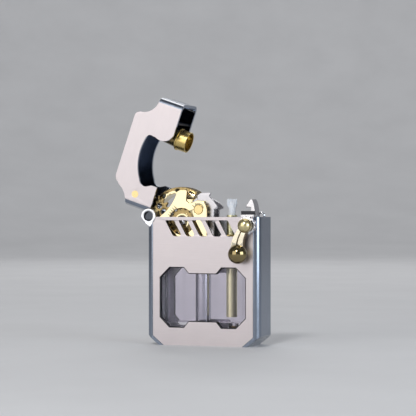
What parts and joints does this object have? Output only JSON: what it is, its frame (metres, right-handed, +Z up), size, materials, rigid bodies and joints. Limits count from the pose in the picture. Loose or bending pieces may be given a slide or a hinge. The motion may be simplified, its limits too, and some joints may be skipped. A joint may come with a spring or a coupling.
{
  "type": "mechanical spark lighter",
  "caption": "Pocket fuel lighter with a hinged C-cut lid, geared flint-wheel movement, windowed tank, snuffer cup and a side lever that works the lid catch.",
  "frame": {"origin": "centre of the case's flat bottom", "axes": "+Z up through the case, front plate and lever face -Y, hinge on the -X side, lid tip and latch on the +X side; the lid is open"},
  "size_m": [0.0513, 0.0205, 0.0832],
  "materials": {
    "polished_steel": "polished dark steel",
    "brushed_plate": "fine brushed",
    "satin_steel": "satin",
    "dark_steel": "blackened",
    "bright_gold": "mirror polished",
    "satin_brass": "turned",
    "clear_tank": "clear acrylic",
    "cotton": "woven",
    "ferro": "matt",
    "seal": "matt"
  },
  "bodies": {
    "case": {"case_shell": "polished_steel", "front_plate": "brushed_plate", "back_plate": "brushed_plate", "base_block": "satin_steel", "base_screws": "satin_steel", "movement_deck": "satin_steel", "fuel_tank": "clear_tank", "filler_screw": "satin_brass", "filler_ring": "seal", "flint_tube": "satin_brass", "flint": "ferro", "flint_spring": "satin_steel", "flint_screw": "satin_brass", "wick": "cotton", "wick_tube": "satin_brass", "wick_nut": "satin_brass", "hinge_pin": "polished_steel", "hinge_spring": "satin_steel", "cheek_front": "bright_gold", "cheek_back": "bright_gold", "cheek_spacers": "satin_steel", "fender": "bright_gold", "gear_bridge": "satin_steel", "gear_pin": "polished_steel", "wheel_axle": "bright_gold", "guard_plates": "satin_steel", "latch_block": "satin_steel", "latch_ledge": "dark_steel", "latch_coil": "satin_steel", "lever_washer": "satin_steel"},
    "lid": {"lid_shell": "brushed_plate", "lid_sector": "bright_gold", "lid_rivets": "bright_gold", "snuffer": "satin_brass", "catch_pin": "satin_steel"},
    "drive_gear": {"drive_gear": "bright_gold"},
    "pinion": {"pinion": "satin_brass"},
    "flint_wheel": {"flint_wheel": "satin_steel"},
    "lever": {"latch_hook": "satin_steel", "lever_shaft": "satin_steel", "lever_hub": "satin_brass", "lever_arm": "bright_gold", "lever_ball": "bright_gold", "pivot_ball": "bright_gold"}
  },
  "joints": [
    {"name": "lid_hinge", "type": "hinge", "parent": "case", "child": "lid", "pos_m": [-0.0194, 0, 0.0432], "axis": [0, 1, 0], "range_deg": [0, 71], "stiffness_Nm_per_rad": 0.004, "springref_deg": -20.05},
    {"name": "drive_gear_spin", "type": "hinge", "parent": "case", "child": "drive_gear", "pos_m": [-0.00813, 0, 0.04152], "axis": [0, 1, 0], "range_deg": [-108.87, 0]},
    {"name": "pinion_spin", "type": "hinge", "parent": "case", "child": "pinion", "pos_m": [-0.00209, 0, 0.04544], "axis": [0, 1, 0], "range_deg": [0, 181.45]},
    {"name": "flint_wheel_spin", "type": "hinge", "parent": "case", "child": "flint_wheel", "pos_m": [-0.00209, 0, 0.04544], "axis": [0, 1, 0], "continuous": true},
    {"name": "lever_turn", "type": "hinge", "parent": "case", "child": "lever", "pos_m": [0.0161, 0, 0.0402], "axis": [0, 1, 0], "range_deg": [-9, 10], "stiffness_Nm_per_rad": 0.01}
  ],
  "couplings": [
    {"joint": "drive_gear_spin", "follows": "lid_hinge", "ratio": -1.5333},
    {"joint": "pinion_spin", "follows": "lid_hinge", "ratio": 2.5556}
  ]
}
